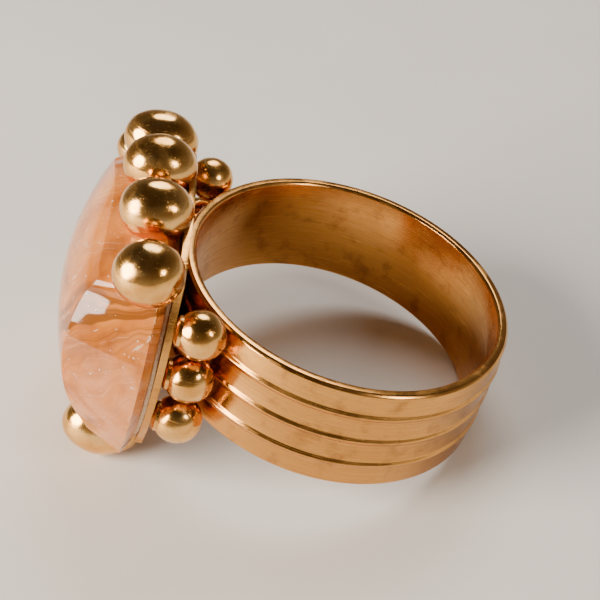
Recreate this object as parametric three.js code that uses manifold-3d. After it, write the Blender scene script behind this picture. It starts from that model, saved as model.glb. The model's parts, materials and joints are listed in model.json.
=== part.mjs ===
// A cocktail ring: a ribbed wedding-width band, a thin back plate soldered to its top, a large
// domed cushion of rutilated quartz bedded on the plate, a row of gold domes that grips the
// stone's edge, and three solid balls in each corner between the plate and the band.
//
// Everything is modelled in the ring's own frame first: X runs along the stone's length, Y along
// the finger and Z from the finger up through the stone, with the band's axis as origin.
// The finished ring is then laid down as it rests on a table: on the band's lower rim and on the
// lowest row of domes, with +Z up, -X towards the stone and the origin under its middle.
// Millimetres throughout.

import * as THREE from 'three';
import { mergeVertices } from 'three/addons/utils/BufferGeometryUtils.js';
import Module from 'manifold-3d';

const wasm = await Module();
wasm.setup();

// ---------- driving dimensions ----------

// band
const bandOuterRadius = 9.6; // across the stone's length, to the flat channels
const bandHeightRatio = 0.925; // the worn band is slightly flattened towards the stone
const bandWall = 0.63;
const bandWidth = 6.0;
const rimBevel = 0.14;
const ribPitch = 1.54;
const ribHeight = 0.13;
const ribFoot = 0.4;
const ribCount = 3;

// back plate
const plateThickness = 0.36;
const plateInset = 0.25; // inside the domes' centre line
const bareRetreat = new THREE.Vector2(-1.0, 0.45); // keeps the plate inside the stone's bare corner

// stone, seen from the front; near is +X, front is +Y
const nearFrontCorner = new THREE.Vector2(7.5, 4.9);
const farFrontCorner = new THREE.Vector2(-7.8, 4.4);
const farBackCorner = new THREE.Vector2(-8.3, -5.1);
const bareCorner = new THREE.Vector2(6.95, -6.2); // left sharp, with no dome over it
const frontBow = 1.2; // how far each side bows out between its corners
const farBow = 0.8;
const backBow = 0.4;
const nearBow = 1.6;
const cornerRound = 1.1;
const bareCornerRound = 0.35;
const stoneCrown = 14.8; // height of the crown above the band's axis
const crownRadiusAcross = 6.7; // radius of curvature across the finger's length
const crownRadiusAlong = 28.0;
const stoneLowerBevel = 0.45;
const wallLean = 0.36; // the side walls lean in by this much for each millimetre up

// domes
const domeRadius = 1.62;
const frontDomeHeight = 3.15; // of the first dome, at the near end
const frontDomeGrowth = 0.18; // each front dome is taller than the one before it
const backDomeHeight = 3.85;
const domeBellyShare = 0.45; // height of the widest level, as a share of the dome's height
const domeSetOut = 0.45; // dome centres stand outside the stone's edge
const frontDomes = 4;
const frontPitch = 4.25;
const rearDomes = 7;
const rearPitch = 3.54;
const firstDomeStation = 0.05; // along the stone's edge from its near front corner

// shoulder balls
const ballRadius = 1.25;
const ballPitch = 2.72;
const ballsPerShoulder = 3;

// cement and clearances
const cementThickness = 0.18;
const cementInset = 0.7;
const solderGap = 0.04; // between pieces that are soldered together
const stoneClearance = 0.05; // between the stone and what grips it

// how finely curves are divided
const bandSegments = 80;
const ballSegments = 16;
const domeSegments = 18;
const crownStepsAlong = 30;
const crownStepsAcross = 22;
const outlineSteps = 10;

// ---------- worked out from the driving dimensions ----------

const crestRadius = bandOuterRadius + ribHeight;
const plateBack = crestRadius * bandHeightRatio + solderGap;
const plateTop = plateBack + plateThickness;
const cementBase = plateTop + solderGap;
const stoneBase = cementBase + cementThickness + solderGap;

// ---------- materials ----------

const gold = new THREE.MeshStandardMaterial({ color: 0xd9a05a, roughness: 0.2, metalness: 1 });
const goldWorn = new THREE.MeshStandardMaterial({ color: 0xcd9554, roughness: 0.28, metalness: 1 });
const quartz = new THREE.MeshStandardMaterial({ color: 0xe9b384, roughness: 0.12, metalness: 0 });
const cement = new THREE.MeshStandardMaterial({ color: 0xd8b48a, roughness: 0.7, metalness: 0 });

// ---------- solids ----------

// Turns a closed three.js geometry into a manifold-3d solid.
function toSolid(geometry) {
  const bare = geometry.clone();
  bare.deleteAttribute('normal');
  bare.deleteAttribute('uv');
  const merged = mergeVertices(bare, 1e-5);
  return new wasm.Manifold(new wasm.Mesh({
    numProp: 3,
    vertProperties: new Float32Array(merged.attributes.position.array),
    triVerts: new Uint32Array(merged.index.array),
  }));
}

// Turns a manifold-3d solid back into a three.js geometry.
function toGeometry(solid) {
  const mesh = solid.getMesh();
  const geometry = new THREE.BufferGeometry();
  geometry.setAttribute('position', new THREE.BufferAttribute(mesh.vertProperties, 3));
  geometry.setIndex(new THREE.BufferAttribute(mesh.triVerts, 1));
  geometry.computeVertexNormals();
  return geometry;
}

function named(name, geometry, material) {
  const mesh = new THREE.Mesh(geometry, material);
  mesh.name = name;
  return mesh;
}

// ---------- band ----------

// Half the band's profile runs up the inside and down the outside, with a sharp rib at each pitch.
function bandGeometry() {
  const half = bandWidth / 2;
  const inner = bandOuterRadius - bandWall;
  const profile = [
    new THREE.Vector2(inner, -half + rimBevel),
    new THREE.Vector2(inner + rimBevel, -half),
    new THREE.Vector2(bandOuterRadius - rimBevel, -half),
    new THREE.Vector2(bandOuterRadius, -half + rimBevel),
  ];
  for (let i = 0; i < ribCount; i += 1) {
    const middle = (i - (ribCount - 1) / 2) * ribPitch;
    profile.push(new THREE.Vector2(bandOuterRadius, middle - ribFoot / 2));
    profile.push(new THREE.Vector2(crestRadius, middle));
    profile.push(new THREE.Vector2(bandOuterRadius, middle + ribFoot / 2));
  }
  profile.push(
    new THREE.Vector2(bandOuterRadius, half - rimBevel),
    new THREE.Vector2(bandOuterRadius - rimBevel, half),
    new THREE.Vector2(inner + rimBevel, half),
    new THREE.Vector2(inner, half - rimBevel),
    new THREE.Vector2(inner, -half + rimBevel),
  );
  const geometry = new THREE.LatheGeometry(profile, bandSegments);
  geometry.scale(1, 1, bandHeightRatio);
  return geometry;
}

// ---------- stone ----------

// The stone's outline from the front: a cushion with four bowed sides, three rounded corners and
// one sharp one. Growing it moves every side outwards.
function stoneOutline(grow) {
  const sides = [
    { from: nearFrontCorner, bow: frontBow, round: cornerRound },
    { from: farFrontCorner, bow: farBow, round: cornerRound },
    { from: farBackCorner, bow: backBow, round: cornerRound },
    { from: bareCorner, bow: nearBow, round: bareCornerRound },
  ];
  const outward = (corner) => new THREE.Vector2(Math.sign(corner.x), Math.sign(corner.y));
  const grown = sides.map((side) => side.from.clone().addScaledVector(outward(side.from), grow));
  const shape = new THREE.Shape();
  sides.forEach((side, i) => {
    const next = (i + 1) % sides.length;
    const along = grown[next].clone().sub(grown[i]).normalize();
    const start = grown[i].clone().addScaledVector(along, side.round);
    const end = grown[next].clone().addScaledVector(along, -sides[next].round);
    const bulge = start.clone().add(end).multiplyScalar(0.5);
    bulge.addScaledVector(new THREE.Vector2(along.y, -along.x), 2 * side.bow);
    if (i === 0) {
      shape.moveTo(start.x, start.y);
    } else {
      shape.quadraticCurveTo(grown[i].x, grown[i].y, start.x, start.y);
    }
    shape.quadraticCurveTo(bulge.x, bulge.y, end.x, end.y);
  });
  const opening = shape.curves[0].v0;
  shape.quadraticCurveTo(grown[0].x, grown[0].y, opening.x, opening.y);
  return shape;
}

// Height of the polished crown above the band's axis.
function crownHeight(x, y) {
  return stoneCrown - x * x / (2 * crownRadiusAlong) - y * y / (2 * crownRadiusAcross);
}

// A block whose top follows the crown, wide enough to cover the whole outline.
function crownBlock(outline, grow) {
  const box = new THREE.Box2().setFromPoints(outline.getPoints(outlineSteps));
  const size = box.getSize(new THREE.Vector2()).addScalar(2);
  const middle = box.getCenter(new THREE.Vector2());
  const block = new THREE.BoxGeometry(size.x, size.y, 2, crownStepsAlong, crownStepsAcross, 1);
  block.translate(middle.x, middle.y, 0);
  const position = block.attributes.position;
  for (let i = 0; i < position.count; i += 1) {
    const crown = crownHeight(position.getX(i), position.getY(i)) + grow;
    position.setZ(i, position.getZ(i) > 0 ? crown : 0);
  }
  return block;
}

// A slab of the outline with a bevel under its lower edge and walls that lean in, cut off along
// the crown. Its girdle is the widest level, one bevel above the base.
function stoneSolid(grow) {
  const outline = stoneOutline(grow);
  const base = stoneBase - grow;
  const girdle = base + stoneLowerBevel;
  const top = stoneCrown + 1;
  const halfWidth = -bareCorner.y;
  const slab = new THREE.ExtrudeGeometry(outline, {
    depth: 2,
    steps: 2,
    bevelEnabled: false,
    curveSegments: outlineSteps,
  });
  const levels = [
    { z: base, inset: stoneLowerBevel },
    { z: girdle, inset: 0 },
    { z: top, inset: wallLean * (top - girdle) },
  ];
  const position = slab.attributes.position;
  for (let i = 0; i < position.count; i += 1) {
    const level = levels[Math.round(position.getZ(i))];
    const share = 1 - level.inset / halfWidth;
    position.setXYZ(i, position.getX(i) * share, position.getY(i) * share, level.z);
  }
  return toSolid(slab).intersect(toSolid(crownBlock(outline, grow)));
}

// ---------- domes ----------

// Places of the dome centres: stations along the stone's edge, set out from it. They start at the
// near front corner, run along the front, round the far end and back along the rear.
function domePlaces() {
  const edge = stoneOutline(domeSetOut);
  const length = edge.getLength();
  const places = [];
  let station = firstDomeStation;
  for (let i = 0; i < frontDomes + rearDomes; i += 1) {
    places.push(edge.getPointAt(station / length));
    station += i < frontDomes ? frontPitch : rearPitch;
  }
  return places;
}

function domeEllipsoid(place, height, grow) {
  const belly = domeBellyShare * height;
  const geometry = new THREE.SphereGeometry(1, domeSegments, domeSegments * 0.7);
  geometry.rotateX(Math.PI / 2);
  geometry.scale(domeRadius + grow, domeRadius + grow, height - belly + grow);
  geometry.translate(place.x, place.y, plateTop + belly);
  return toSolid(geometry);
}

// ---------- plate and cement ----------

// A slab of the plate's outline, grown by a clearance and reaching down to a given level. The
// outline is what it shares with its own copy moved away from the stone's bare corner.
function plateSolid(grow, bottom) {
  const slab = new THREE.ExtrudeGeometry(stoneOutline(domeSetOut - plateInset + grow), {
    depth: plateTop + grow - bottom,
    bevelEnabled: false,
    curveSegments: outlineSteps,
  });
  slab.translate(0, 0, bottom);
  const moved = slab.clone().translate(bareRetreat.x, bareRetreat.y, 0);
  return toSolid(slab).intersect(toSolid(moved));
}

// The bed of cement, grown by a clearance.
function cementGeometry(grow) {
  return new THREE.ExtrudeGeometry(stoneOutline(grow - cementInset), {
    depth: cementThickness + 2 * grow,
    bevelEnabled: false,
    curveSegments: outlineSteps,
  }).translate(0, 0, cementBase - grow);
}

// ---------- shoulder balls ----------

// Finds how far along X a ball rests when it touches both the plate's back and the band's ribs.
function ballPlaceX() {
  const reach = ballRadius + solderGap;
  const wantedZ = plateBack - reach;
  const ribTop = crestRadius * bandHeightRatio;
  let low = 0;
  let high = Math.PI / 2;
  const centre = (angle) => {
    const normal = new THREE.Vector2(Math.cos(angle) / crestRadius, Math.sin(angle) / ribTop);
    normal.setLength(reach);
    return normal.add(new THREE.Vector2(crestRadius * Math.cos(angle), ribTop * Math.sin(angle)));
  };
  for (let i = 0; i < 40; i += 1) {
    const middle = (low + high) / 2;
    if (centre(middle).y < wantedZ) {
      low = middle;
    } else {
      high = middle;
    }
  }
  return centre(low).x;
}

// ---------- assembly ----------

const ring = new THREE.Group();
ring.add(named('band', bandGeometry(), goldWorn));
ring.add(named('back_plate', toGeometry(plateSolid(0, plateBack)), goldWorn));
ring.add(named('stone_cement', cementGeometry(0), cement));
ring.add(named('stone', toGeometry(stoneSolid(0)), quartz));

// Each dome is cut by the stone and its bed, by the plate and by the dome before it.
const stoneCutter = stoneSolid(stoneClearance).add(toSolid(cementGeometry(stoneClearance)));
const plateCutter = plateSolid(solderGap, 0);
let neighbour = plateCutter;
domePlaces().forEach((place, i) => {
  const isFront = i < frontDomes;
  const height = isFront ? frontDomeHeight + i * frontDomeGrowth : backDomeHeight;
  const name = isFront ? `front_dome_${i + 1}` : `rear_dome_${i + 1 - frontDomes}`;
  const dome = domeEllipsoid(place, height, 0).subtract(stoneCutter).subtract(plateCutter);
  ring.add(named(name, toGeometry(dome.subtract(neighbour)), gold));
  neighbour = domeEllipsoid(place, height, solderGap);
});

const ballX = ballPlaceX();
for (const [side, direction] of [['near', 1], ['far', -1]]) {
  for (let i = 0; i < ballsPerShoulder; i += 1) {
    const ball = new THREE.SphereGeometry(ballRadius, ballSegments, ballSegments * 0.6);
    const mesh = named(`${side}_shoulder_ball_${i + 1}`, ball, gold);
    const along = (i - (ballsPerShoulder - 1) / 2) * ballPitch;
    mesh.position.set(direction * ballX, along, plateBack - ballRadius - solderGap);
    ring.add(mesh);
  }
}

// ---------- resting pose ----------

// The ring rests on the band's lower rim, opposite the stone, and on the rear domes. The tilt is
// the angle at which both are equally low.
function restTilt() {
  const rearRow = Math.min(...domePlaces().map((place) => place.y));
  const belly = domeBellyShare * backDomeHeight;
  const bellyZ = plateTop + belly;
  const dropBetween = (angle) => {
    const c = Math.cos(angle);
    const s = Math.sin(angle);
    const domeLow = rearRow * c + bellyZ * s - Math.hypot(domeRadius * c, (backDomeHeight - belly) * s);
    const rimLow = -bandWidth / 2 * c - (bandOuterRadius - rimBevel) * bandHeightRatio * s;
    return domeLow - rimLow;
  };
  let low = 0;
  let high = Math.PI / 3;
  for (let i = 0; i < 40; i += 1) {
    const middle = (low + high) / 2;
    if (dropBetween(middle) < 0) {
      low = middle;
    } else {
      high = middle;
    }
  }
  return low;
}

const tilt = restTilt();
ring.setRotationFromMatrix(new THREE.Matrix4().makeBasis(
  new THREE.Vector3(0, -1, 0),
  new THREE.Vector3(Math.sin(tilt), 0, Math.cos(tilt)),
  new THREE.Vector3(-Math.cos(tilt), 0, Math.sin(tilt)),
));
ring.updateMatrixWorld(true);
const bounds = new THREE.Box3().setFromObject(ring, true);
const middle = bounds.getCenter(new THREE.Vector3());
ring.position.set(-middle.x, -middle.y, -bounds.min.z);

const model = new THREE.Group();
model.add(ring);

export default model;
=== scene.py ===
"""The looks of a cocktail ring: a ribbed gold band, a back plate, a domed cushion of rutilated
quartz and the gold domes and shoulder balls around it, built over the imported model."""

import json
import math

import bmesh
import bpy
from mathutils import Matrix, Vector, noise


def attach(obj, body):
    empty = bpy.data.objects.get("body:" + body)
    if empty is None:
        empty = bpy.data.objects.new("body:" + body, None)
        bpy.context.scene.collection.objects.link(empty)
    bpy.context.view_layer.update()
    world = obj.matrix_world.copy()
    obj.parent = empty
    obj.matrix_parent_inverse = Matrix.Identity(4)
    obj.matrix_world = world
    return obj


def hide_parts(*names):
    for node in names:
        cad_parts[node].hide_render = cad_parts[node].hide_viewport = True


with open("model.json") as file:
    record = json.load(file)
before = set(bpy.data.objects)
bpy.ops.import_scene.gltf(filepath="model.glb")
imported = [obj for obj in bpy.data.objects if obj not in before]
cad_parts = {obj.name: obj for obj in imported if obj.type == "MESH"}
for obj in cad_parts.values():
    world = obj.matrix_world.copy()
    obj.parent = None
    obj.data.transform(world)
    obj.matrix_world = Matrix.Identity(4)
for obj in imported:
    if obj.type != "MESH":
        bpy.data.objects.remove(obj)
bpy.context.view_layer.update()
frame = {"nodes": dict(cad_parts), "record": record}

MM = 0.001

# ---------- sizes, in millimetres, in the ring's own frame ----------
# X runs along the stone, Y along the finger and Z from the finger up through the stone.

BAND_RADIUS = 9.6
BAND_FLATTENING = 0.925
BAND_WALL = 0.63
BAND_WIDTH = 6.0
RIM_BEVEL = 0.14
RIB_PITCH = 1.54
RIB_HEIGHT = 0.13
RIB_FOOT = 0.4
RIB_COUNT = 3
RIB_SHAPE = ((0, -0.5), (0.75, -0.2), (1, 0), (0.75, 0.2), (0, 0.5))  # shares of height and foot

CROWN_HEIGHT = 14.8
CROWN_RADIUS_ACROSS = 6.7
CROWN_RADIUS_ALONG = 28.0
LOWER_BEVEL = 0.45
WALL_LEAN = 0.36
HALF_WIDTH = 6.2
GROWTH_AXIS = (-0.59, 0.78, 0.2)  # the quartz grew in layers across this

DOME_RADIUS = 1.62
DOME_BELLY = 0.45
BALL_RADIUS = 1.25
SKIRT_START = 0.8  # share of a ball's radius at which its solder begins
SKIRT_FLARE = 0.12
SEAM = 0.04  # between pieces that are soldered or set together


# ---------- the ring's own frame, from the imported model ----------

def ring_placement():
    """The matrix that lays the ring's own frame, in millimetres, down in the row frame."""
    finger = Vector(frame["record"]["mounts"][0]["axis"]).normalized()
    along = Vector((0, -1, 0))
    upward = along.cross(finger)
    turn = Matrix((along, finger, upward)).transposed()
    corners = [turn.inverted() @ v.co for v in frame["nodes"]["band"].data.vertices]
    middle = [(min(c[i] for c in corners) + max(c[i] for c in corners)) / 2 for i in range(3)]
    return Matrix.Translation(turn @ Vector(middle)) @ turn.to_4x4() @ Matrix.Scale(MM, 4)


PLACE = ring_placement()
UNPLACE = PLACE.inverted()


def ring_points(node):
    """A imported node's points in the ring's own frame."""
    return [UNPLACE @ v.co for v in frame["nodes"][node].data.vertices]


def ring_box(node):
    """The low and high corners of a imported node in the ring's own frame."""
    points = ring_points(node)
    low = Vector([min(p[i] for p in points) for i in range(3)])
    high = Vector([max(p[i] for p in points) for i in range(3)])
    return low, high


PLATE_BACK = ring_box("back_plate")[0].z
PLATE_TOP = ring_box("back_plate")[1].z
STONE_BASE = ring_box("stone")[0].z


# ---------- mesh tools ----------

def soften(bm, limit):
    """Shades a mesh smooth, but for the edges that turn by more than a limit, in degrees."""
    for face in bm.faces:
        face.smooth = True
    for edge in bm.edges:
        edge.smooth = len(edge.link_faces) == 2 and edge.calc_face_angle(0) < math.radians(limit)


def make_object(name, bm):
    """Turns a mesh into an object of the scene and frees the mesh."""
    mesh = bpy.data.meshes.new(name)
    bm.to_mesh(mesh)
    bm.free()
    piece = bpy.data.objects.new(name, mesh)
    bpy.context.scene.collection.objects.link(piece)
    return piece


def finished(name, bm, material, slot, *nodes, limit=32):
    """Lays a mesh made in the ring's own frame down in the row frame, as a piece of the ring."""
    bmesh.ops.recalc_face_normals(bm, faces=bm.faces)
    bm.transform(PLACE)
    soften(bm, limit)
    piece = make_object(name, bm)
    piece.data.materials.append(material)
    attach(piece, "root")
    if nodes:
        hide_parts(*nodes)
    return piece


def sharp_edges(bm, limit):
    """The edges whose faces meet at more than a limit, in degrees."""
    return [e for e in bm.edges if e.is_manifold and e.calc_face_angle(0) > math.radians(limit)]


def round_over(bm, edges, width, segments):
    """Rounds edges off, as polishing does."""
    bmesh.ops.bevel(bm, geom=edges, offset=width, offset_type="OFFSET", segments=segments,
                    profile=0.5, affect="EDGES", clamp_overlap=True, material=-1)


def ripple(bm, amount, size, seed):
    """Small unevenness left by hand work, along each point's normal; each seed gives its own."""
    bm.normal_update()
    shift = Vector((seed * 7.3, seed * 3.1, seed * 5.7))
    for v in bm.verts:
        v.co += v.normal * amount * noise.noise(v.co / size + shift)


def turned(profile, steps, axis):
    """Spins a closed profile all the way round an axis through the origin."""
    bm = bmesh.new()
    verts = [bm.verts.new(p) for p in profile]
    edges = [bm.edges.new(pair) for pair in zip(verts, verts[1:])]
    bmesh.ops.spin(bm, geom=verts + edges, cent=(0, 0, 0), axis=axis, angle=math.tau,
                   steps=steps, use_merge=True)
    bmesh.ops.remove_doubles(bm, verts=bm.verts, dist=1e-5)
    return bm


def carved(name, bm, cutters):
    """Cuts a mesh by others and gives back what is left."""
    piece = make_object(name, bm)
    tools = [make_object(f"{name}_cutter", cutter.copy()) for cutter in cutters]
    for tool in tools:
        cut = piece.modifiers.new("cut", "BOOLEAN")
        cut.operation = "DIFFERENCE"
        cut.solver = "EXACT"
        cut.object = tool
    held = piece.evaluated_get(bpy.context.evaluated_depsgraph_get())
    result = bmesh.new()
    result.from_mesh(held.to_mesh())
    held.to_mesh_clear()
    for spare in [piece, *tools]:
        bpy.data.objects.remove(spare)
    bmesh.ops.remove_doubles(result, verts=result.verts, dist=1e-3)
    bmesh.ops.dissolve_degenerate(result, dist=1e-3, edges=result.edges)
    bmesh.ops.triangulate(result, faces=[f for f in result.faces if len(f.verts) > 4])
    return result


# ---------- shader tools ----------

class Field:
    """A value that changes over a surface. Arithmetic on it adds Math nodes."""

    def __init__(self, finish, socket):
        self.finish = finish
        self.socket = socket

    def math(self, operation, *others):
        values = dict(enumerate((self, *others)))
        return self.finish.node("ShaderNodeMath", {"operation": operation}, values)

    def __add__(self, other):
        return self.math("ADD", other)

    def __sub__(self, other):
        return self.math("SUBTRACT", other)

    def __rsub__(self, other):
        return self.math("MULTIPLY", -1.0).math("ADD", other)

    def __mul__(self, other):
        return self.math("MULTIPLY", other)

    __radd__ = __add__
    __rmul__ = __mul__

    def clamped(self):
        return self.math("MAXIMUM", 0.0).math("MINIMUM", 1.0)


class Nodes:
    """Builds a node tree one node at a time."""

    def __init__(self, tree):
        self.tree = tree

    def node(self, kind, settings=None, inputs=None, output=0):
        """Adds a node: first its settings, then its inputs. Gives back one of its outputs."""
        made = self.tree.nodes.new(kind)
        for key, value in (settings or {}).items():
            if key == "stops":
                self.set_stops(made.color_ramp, value)
            else:
                setattr(made, key, value)
        for key, value in (inputs or {}).items():
            self.feed(made.inputs[key], value)
        return Field(self, made.outputs[output])

    def feed(self, socket, value):
        if isinstance(value, Field):
            self.tree.links.new(value.socket, socket)
        else:
            socket.default_value = value

    def set_stops(self, ramp, stops):
        while len(ramp.elements) < len(stops):
            ramp.elements.new(0.5)
        for element, (position, colour) in zip(ramp.elements, stops):
            element.position = position
            element.color = (*colour, 1)

    def ramp(self, value, *stops):
        return self.node("ShaderNodeValToRGB", {"stops": stops}, {"Fac": value})


class Finish(Nodes):
    """A procedural material around one Principled shader."""

    def __init__(self, name, **constants):
        self.material = bpy.data.materials.new(name)
        self.material.use_nodes = True
        super().__init__(self.material.node_tree)
        self.shader = self.tree.nodes["Principled BSDF"]
        for socket, value in constants.items():
            self.shader.inputs[socket.replace("_", " ")].default_value = value

    def ring_space(self, stretch=(1, 1, 1)):
        """Object coordinates turned into the ring's own frame, in millimetres, then stretched."""
        place = self.node("ShaderNodeTexCoord", output="Object")
        own = self.node("ShaderNodeMapping", {"vector_type": "TEXTURE"}, {
            "Vector": place, "Location": PLACE.translation,
            "Rotation": PLACE.to_euler(), "Scale": (MM, MM, MM)})
        return self.node("ShaderNodeMapping", {"vector_type": "POINT"}, {
            "Vector": own, "Scale": stretch})

    def cloud(self, vector, scale, detail=3.0, roughness=0.5, distortion=0.0):
        return self.node("ShaderNodeTexNoise", None, {
            "Vector": vector, "Scale": scale, "Detail": detail, "Roughness": roughness,
            "Distortion": distortion})

    def strata(self, depth, detail):
        """Layers of uneven thickness that follow one depth."""
        return self.node("ShaderNodeTexNoise", {"noise_dimensions": "1D"}, {
            "W": depth, "Scale": 1.0, "Detail": detail})

    def band(self, value, low, high):
        """0 below low, 1 above high, and smooth between."""
        return self.node("ShaderNodeMapRange", {"interpolation_type": "SMOOTHSTEP"}, {
            "Value": value, "From Min": low, "From Max": high})

    def blend(self, factor, first, second):
        """Mixes two colours; 0, 6 and 7 are the Mix node's factor and its two colour inputs."""
        return self.node("ShaderNodeMix", {"data_type": "RGBA"}, {
            0: factor, 6: first, 7: second}, output=2)

    def bump(self, height, strength, distance):
        return self.node("ShaderNodeBump", None, {
            "Height": height, "Strength": strength, "Distance": distance})

    def wear(self, **fields):
        """Feeds the shader's sockets with what changes over the surface."""
        for socket, field in fields.items():
            self.feed(self.shader.inputs[socket.replace("_", " ")], field)
        return self.material


# ---------- finishes ----------

def scratch_lines(finish, turn, spacing):
    """Hair-fine straight scratches in one direction."""
    place = finish.ring_space()
    turned_place = finish.node("ShaderNodeMapping", {"vector_type": "POINT"}, {
        "Vector": place, "Rotation": turn, "Scale": (1, 1 / spacing, 1)})
    lines = finish.cloud(turned_place, 0.35, detail=2.0)
    return finish.band(lines, 0.64, 0.7)


def polished_gold():
    """Bright hand-polished gold: a soft orange-peel, rubbed patches, hair scratches and pits."""
    gold = Finish("polished_gold", Metallic=1.0)
    place = gold.ring_space()
    peel = gold.cloud(place, 1.1, detail=4.0)
    patches = gold.band(gold.cloud(place, 0.7, detail=5.0, roughness=0.65), 0.42, 0.7)
    scratches = (scratch_lines(gold, turn=(0.4, 0.2, 0.7), spacing=0.03)
                 + scratch_lines(gold, turn=(1.1, 0.7, 0.1), spacing=0.04)).clamped()
    pits = gold.band(gold.cloud(place, 9.0, detail=2.0), 0.66, 0.74)
    colour = gold.ramp(peel, (0.3, (0.74, 0.35, 0.08)), (0.52, (0.88, 0.48, 0.14)),
                       (0.72, (0.95, 0.59, 0.23)))
    tarnished = gold.blend(pits * 0.5, colour, (0.38, 0.17, 0.05, 1))
    rough = 0.15 + patches * 0.14 + scratches * 0.1 + pits * 0.15
    height = peel + patches * 0.15 - scratches * 0.06 - pits * 0.1
    relief = gold.bump(height, strength=0.6, distance=0.03 * MM)
    return gold.wear(Base_Color=tarnished, Roughness=rough, Normal=relief)


def worn_gold():
    """The gold of the band and the plate: brushed, scratched, hazed and tarnished by wear."""
    gold = Finish("worn_gold", Metallic=1.0)
    place = gold.ring_space()
    brushed = gold.cloud(gold.ring_space((0.35, 24.0, 0.35)), 1.0, detail=4.0, roughness=0.7)
    fine = gold.cloud(gold.ring_space((0.6, 90.0, 0.6)), 1.0, detail=2.0)
    stray = (scratch_lines(gold, turn=(0.2, 0.5, 1.2), spacing=0.03)
             + scratch_lines(gold, turn=(0.9, 0.1, 0.5), spacing=0.05)).clamped()
    haze = gold.band(gold.cloud(place, 0.35, detail=5.0, roughness=0.6), 0.4, 0.68)
    tarnish = gold.band(gold.cloud(place, 0.9, detail=5.0, roughness=0.6), 0.5, 0.72)
    base = gold.ramp(brushed, (0.3, (0.60, 0.27, 0.065)), (0.6, (0.77, 0.38, 0.10)),
                     (0.8, (0.87, 0.50, 0.17)))
    colour = gold.blend(tarnish * 0.6, base, (0.36, 0.15, 0.045, 1))
    rough = 0.1 + brushed * 0.12 + haze * 0.12 + stray * 0.12
    height = brushed * 0.5 + fine * 0.4 - stray * 0.25
    relief = gold.bump(height, strength=0.4, distance=0.012 * MM)
    return gold.wear(Base_Color=colour, Roughness=rough, Normal=relief)


def rutilated_quartz():
    """Peach quartz: ochre growth layers across its middle, a paler haze that is thickest at one
    side of them, fine needles and specks of broken light."""
    stone = Finish("rutilated_quartz", IOR=1.545, Transmission_Weight=0.25, Subsurface_Weight=0.22,
                   Subsurface_Radius=(1.0, 0.5, 0.25), Subsurface_Scale=0.8 * MM)
    place = stone.ring_space()
    warp = stone.cloud(place, 0.16, detail=3.0) - 0.5
    depth = stone.node("ShaderNodeVectorMath", {"operation": "DOT_PRODUCT"},
                       {0: place, 1: GROWTH_AXIS}, output="Value") + warp * 6.0
    middle = stone.band(depth, -2.2, -0.6) - stone.band(depth, 0.8, 2.6)
    drift = stone.cloud(place, 0.3, detail=4.0, distortion=0.8)
    body = stone.ramp(drift, (0.32, (0.38, 0.10, 0.012)), (0.48, (0.70, 0.22, 0.03)),
                      (0.66, (0.88, 0.33, 0.065)))
    veil = stone.band(stone.cloud(place, 0.35, detail=5.0, distortion=1.0), 0.42, 0.62)
    haze = veil * (0.75 - stone.band(depth, -3.5, -0.8) * 0.55)
    milky = stone.blend(haze, body, (0.90, 0.37, 0.16, 1))
    layers = stone.strata(depth * 1.3 + warp * 2.0, detail=4.0)
    ochre = stone.band(layers, 0.46, 0.6) * (middle * 0.75 + 0.15)
    banded = stone.blend(ochre, milky, (0.28, 0.09, 0.012, 1))
    hairs = stone.strata(depth * 6.0 + stone.cloud(place, 0.5, detail=2.0) * 7.0, detail=2.0)
    pale = stone.band(hairs, 0.62, 0.7) * veil * (middle * 0.5 + 0.25)
    veined = stone.blend(pale, banded, (1.0, 0.74, 0.48, 1))
    lines = stone.cloud(stone.ring_space((5.0, 0.7, 1.0)), 0.8, detail=2.0, distortion=1.1)
    threaded = stone.blend(stone.band(lines, 0.69, 0.73) * 0.65, veined, (1.0, 0.84, 0.62, 1))
    specks = stone.band(stone.cloud(place, 5.5, detail=1.0), 0.75, 0.79)
    colour = stone.blend(specks, threaded, (1.0, 0.95, 0.85, 1))
    rough = 0.05 + haze * 0.06 + specks * 0.1
    height = stone.cloud(place, 1.4, detail=3.0) * 0.5 - ochre * 0.12
    relief = stone.bump(height, strength=0.15, distance=0.02 * MM)
    return stone.wear(Base_Color=colour, Roughness=rough, Normal=relief)


def setting_cement():
    """Pale amber cement, slightly grainy, with trapped bubbles."""
    bed = Finish("setting_cement", Subsurface_Weight=0.1, Subsurface_Scale=0.2 * MM)
    place = bed.ring_space()
    grain = bed.cloud(place, 6.0, detail=4.0)
    bubbles = bed.node("ShaderNodeTexVoronoi", None, {"Vector": place, "Scale": 3.0})
    spots = 1.0 - bed.band(bubbles, 0.08, 0.2)
    base = bed.ramp(grain, (0.35, (0.66, 0.44, 0.25)), (0.65, (0.82, 0.62, 0.41)))
    colour = bed.blend(spots * 0.5, base, (0.92, 0.80, 0.62, 1))
    relief = bed.bump(grain - spots, strength=0.4, distance=0.05 * MM)
    return bed.wear(Base_Color=colour, Roughness=0.5 + grain * 0.3, Normal=relief)


def pale_floor():
    """Matt off-white board with a faint mottle."""
    ground = Finish("pale_floor")
    place = ground.node("ShaderNodeTexCoord", output="Object")
    mottle = ground.cloud(place, 60.0, detail=5.0)
    colour = ground.ramp(mottle, (0.3, (0.76, 0.75, 0.73)), (0.7, (0.80, 0.79, 0.77)))
    return ground.wear(Base_Color=colour, Roughness=0.55 + mottle * 0.15)


POLISHED_GOLD = polished_gold()
WORN_GOLD = worn_gold()
QUARTZ = rutilated_quartz()
CEMENT = setting_cement()


# ---------- band ----------

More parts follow.
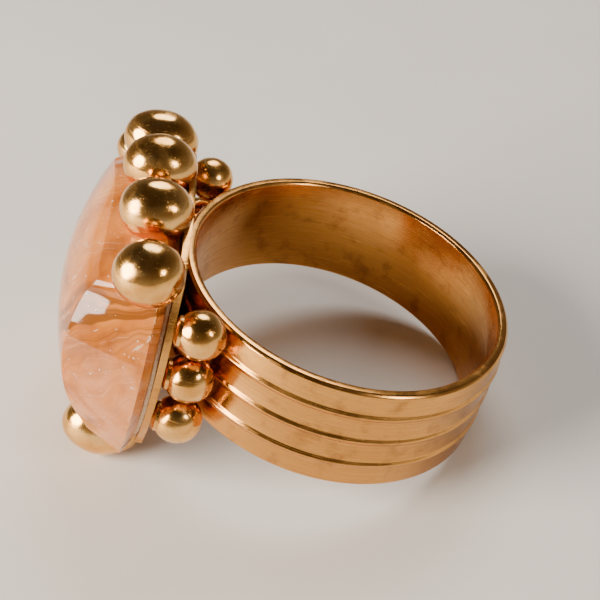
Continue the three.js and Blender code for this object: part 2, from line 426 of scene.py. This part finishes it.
def band_profile():
    """The band's section: across the inside, over the bevelled rims and the ribbed outside."""
    half = BAND_WIDTH / 2
    inner = BAND_RADIUS - BAND_WALL
    points = [(inner, half - RIM_BEVEL), (inner, -half + RIM_BEVEL), (inner + RIM_BEVEL, -half),
              (BAND_RADIUS - RIM_BEVEL, -half), (BAND_RADIUS, -half + RIM_BEVEL)]
    for i in range(RIB_COUNT):
        middle = (i - (RIB_COUNT - 1) / 2) * RIB_PITCH
        points += [(BAND_RADIUS + RIB_HEIGHT * rise, middle + RIB_FOOT * side)
                   for rise, side in RIB_SHAPE]
    points += [(BAND_RADIUS, half - RIM_BEVEL), (BAND_RADIUS - RIM_BEVEL, half),
               (inner + RIM_BEVEL, half), (inner, half - RIM_BEVEL)]
    return [(radius, across, 0) for radius, across in points]


def make_band():
    """A hoop spun round the finger's axis, then flattened into the oval of the finger hole."""
    bm = turned(band_profile(), steps=240, axis=(0, 1, 0))
    round_over(bm, sharp_edges(bm, limit=12), width=0.035, segments=2)
    for v in bm.verts:
        v.co.z *= BAND_FLATTENING
    finished("ribbed_band", bm, WORN_GOLD, "worn_gold", "band", limit=50)


# ---------- stone ----------

def girdle_outline():
    """The stone's widest outline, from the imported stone, as points in order round its middle."""
    level = STONE_BASE + LOWER_BEVEL
    points = {(round(p.x, 3), round(p.y, 3)) for p in ring_points("stone") if abs(p.z - level) < 0.002}
    return sorted(points, key=lambda p: math.atan2(p[1], p[0]))


OUTLINE = girdle_outline()


def reach(angle, grow=0.0):
    """How far the girdle, grown by a clearance, is from the stone's middle in one direction."""
    way = Vector((math.cos(angle), math.sin(angle)))
    for first, second in zip(OUTLINE, OUTLINE[1:] + OUTLINE[:1]):
        a = Vector(first)
        side = Vector(second) - a
        spread = way.cross(side)
        if abs(spread) > 1e-9:
            distance = a.cross(side) / spread
            share = a.cross(way) / spread
            if distance > 0 and -1e-6 <= share <= 1 + 1e-6:
                return distance + grow
    return Vector(OUTLINE[0]).length + grow


def crown(x, y):
    """Height of the polished crown."""
    return CROWN_HEIGHT - x * x / (2 * CROWN_RADIUS_ALONG) - y * y / (2 * CROWN_RADIUS_ACROSS)


def wall_top(angle, grow):
    """The share of the girdle's reach at which the leaning wall meets the crown, by halving."""
    low, high = 0.5, 1.0
    span = reach(angle, grow)
    for _ in range(24):
        share = (low + high) / 2
        wall = STONE_BASE + LOWER_BEVEL + (1 - share) * HALF_WIDTH / WALL_LEAN
        top = crown(span * share * math.cos(angle), span * share * math.sin(angle)) + grow
        if wall > top:
            low = share
        else:
            high = share
    return share


def stone_mesh(grow, divisions):
    """A square net drawn into a disc for the crown, with wall, bevel and base hung from its rim."""
    bm = bmesh.new()
    bmesh.ops.create_grid(bm, x_segments=divisions, y_segments=divisions, size=1)
    for v in bm.verts:
        x, y = v.co.xy
        disc = Vector((x * math.sqrt(1 - y * y / 2), y * math.sqrt(1 - x * x / 2)))
        angle = math.atan2(disc.y, disc.x)
        disc *= reach(angle, grow) * wall_top(angle, grow)
        v.co = (disc.x, disc.y, crown(disc.x, disc.y) + grow)
    rim = [e for e in bm.edges if e.is_boundary]
    girdle = (1, STONE_BASE + LOWER_BEVEL)
    base = (1 - LOWER_BEVEL / HALF_WIDTH, STONE_BASE - grow)
    for share, level in (girdle, base):
        made = bmesh.ops.extrude_edge_only(bm, edges=rim)["geom"]
        rim = [e for e in made if isinstance(e, bmesh.types.BMEdge) and e.is_boundary]
        for v in {v for e in rim for v in e.verts}:
            angle = math.atan2(v.co.y, v.co.x)
            distance = reach(angle, grow) * share
            v.co = (distance * math.cos(angle), distance * math.sin(angle), level)
    bmesh.ops.contextual_create(bm, geom=rim)
    return bm


def make_stone():
    bm = stone_mesh(grow=0, divisions=80)
    round_over(bm, sharp_edges(bm, limit=14), width=0.06, segments=3)
    finished("quartz_cushion", bm, QUARTZ, "stone", "stone", limit=60)


# ---------- plate ---------------------

def plate_mesh(drop=0.0):
    """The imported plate's own outline, as one flat piece; drop makes it reach down past its back."""
    bm = bmesh.new()
    bm.from_mesh(frame["nodes"]["back_plate"].data)
    bm.transform(UNPLACE)
    bmesh.ops.remove_doubles(bm, verts=bm.verts, dist=1e-4)
    bmesh.ops.dissolve_limit(bm, angle_limit=math.radians(1), verts=bm.verts, edges=bm.edges)
    for v in bm.verts:
        if v.co.z < (PLATE_BACK + PLATE_TOP) / 2:
            v.co.z -= drop
    return bm


def make_plate():
    bm = plate_mesh()
    round_over(bm, sharp_edges(bm, limit=60), width=0.07, segments=3)
    finished("back_plate_polished", bm, WORN_GOLD, "worn_gold", "back_plate", limit=40)


# ---------- domes ----------

def dome_mesh(crest, height, grow):
    """A tall egg whose belly is a little above the plate."""
    belly = DOME_BELLY * height
    bm = bmesh.new()
    bmesh.ops.create_uvsphere(bm, u_segments=56, v_segments=36, radius=1)
    radius = DOME_RADIUS + grow
    bmesh.ops.scale(bm, vec=(radius, radius, height - belly + grow), verts=bm.verts)
    bmesh.ops.translate(bm, vec=(crest.x, crest.y, PLATE_TOP + belly), verts=bm.verts)
    return bm


def make_domes():
    """Each dome, cut by the stone, the plate and the dome before it."""
    stone = stone_mesh(grow=SEAM / 2, divisions=40)
    plate = plate_mesh(drop=2.0)
    neighbour = None
    names = [n for n in sorted(frame["nodes"]) if "dome" in n]
    for seed, name in enumerate(names):
        crest = max(ring_points(name), key=lambda p: p.z)
        height = crest.z - PLATE_TOP
        bm = dome_mesh(crest, height, grow=0)
        ripple(bm, amount=0.05, size=1.5, seed=seed + 1)
        ripple(bm, amount=0.012, size=0.45, seed=seed + 40)
        cutters = [cutter for cutter in (stone, plate, neighbour) if cutter]
        finished(f"{name}_polished", carved(name, bm, cutters), POLISHED_GOLD, "polished_gold", name)
        neighbour = dome_mesh(crest, height, grow=SEAM / 2)


# ---------- shoulder balls ----------

def make_ball(name, seed):
    """A solid ball with the small skirt of solder that holds it to the plate."""
    low, high = ring_box(name)
    centre = (low + high) / 2
    bm = bmesh.new()
    bmesh.ops.create_uvsphere(bm, u_segments=48, v_segments=32, radius=BALL_RADIUS)
    ripple(bm, amount=0.04, size=1.3, seed=seed)
    ripple(bm, amount=0.01, size=0.4, seed=seed + 40)
    foot = PLATE_BACK - centre.z
    for v in bm.verts:
        steep = v.co.normalized().z
        if steep > SKIRT_START:
            skirt = ((steep - SKIRT_START) / (1 - SKIRT_START)) ** 0.5
            v.co.z += (foot - v.co.z) * skirt
            v.co.xy *= 1 + SKIRT_FLARE * (1 - abs(2 * skirt - 1))
    bmesh.ops.translate(bm, vec=centre, verts=bm.verts)
    finished(f"{name}_polished", bm, POLISHED_GOLD, "polished_gold", name)


# ---------- the ring ----------

make_band()
make_stone()
make_plate()
make_domes()
for number, node in enumerate(n for n in sorted(frame["nodes"]) if "ball" in n):
    make_ball(node, number + 20)
frame["nodes"]["stone_cement"].data.materials.clear()
frame["nodes"]["stone_cement"].data.materials.append(CEMENT)


# ---------- stage ----------

def make_floor():
    bm = bmesh.new()
    bmesh.ops.create_grid(bm, x_segments=8, y_segments=8, size=1.5)
    floor = make_object("floor", bm)
    floor.data.materials.append(pale_floor())


def soft_box(name, place, size, brightness, colour):
    """A round softbox that faces the ring."""
    light = bpy.data.lights.new(name, "AREA")
    light.shape = "DISK"
    light.size = size
    light.energy = brightness * math.pi * size * size
    light.color = colour
    lamp = bpy.data.objects.new(name, light)
    lamp.location = place
    lamp.rotation_euler = (-Vector(place)).to_track_quat("-Z", "Y").to_euler()
    bpy.context.scene.collection.objects.link(lamp)


def make_camera():
    """Looks down on the ring from its near end, a little to the stone's side."""
    camera = bpy.data.cameras.new("camera")
    camera.lens = 76.8
    camera.sensor_width = 36
    camera.clip_start = 0.002
    camera.clip_end = 10
    holder = bpy.data.objects.new("camera", camera)
    azimuth = math.radians(-1.3)
    elevation = math.radians(36.2)
    distance = 69.84 * MM
    aim = Vector((0.77, 0.16, 6.0)) * MM
    back = Vector((math.sin(azimuth) * math.cos(elevation), -math.cos(azimuth) * math.cos(elevation),
                   math.sin(elevation)))
    holder.location = aim + back * distance
    holder.rotation_euler = back.to_track_quat("Z", "Y").to_euler()
    bpy.context.scene.collection.objects.link(holder)
    bpy.context.scene.camera = holder


def make_sky():
    """A dim warm studio: palest at the horizon, dark overhead."""
    world = bpy.data.worlds.new("studio")
    world.use_nodes = True
    sky = Nodes(world.node_tree)
    way = sky.node("ShaderNodeTexCoord", output="Generated")
    height = sky.node("ShaderNodeSeparateXYZ", None, {"Vector": way}, output="Z")
    colour = sky.ramp(height, (0.0, (0.60, 0.55, 0.49)), (0.22, (0.30, 0.24, 0.18)),
                      (0.75, (0.08, 0.06, 0.04)))
    backdrop = world.node_tree.nodes["Background"]
    sky.feed(backdrop.inputs["Color"], colour)
    backdrop.inputs["Strength"].default_value = 0.6
    bpy.context.scene.world = world


make_floor()
make_sky()
make_camera()
soft_box("key", (-0.165, -0.065, 0.085), size=0.13, brightness=19, colour=(1.0, 0.88, 0.74))
soft_box("fill", (0.14, -0.10, 0.10), size=0.05, brightness=12, colour=(1.0, 0.92, 0.84))
soft_box("top", (0.03, 0.13, 0.16), size=0.12, brightness=5, colour=(1.0, 0.95, 0.89))
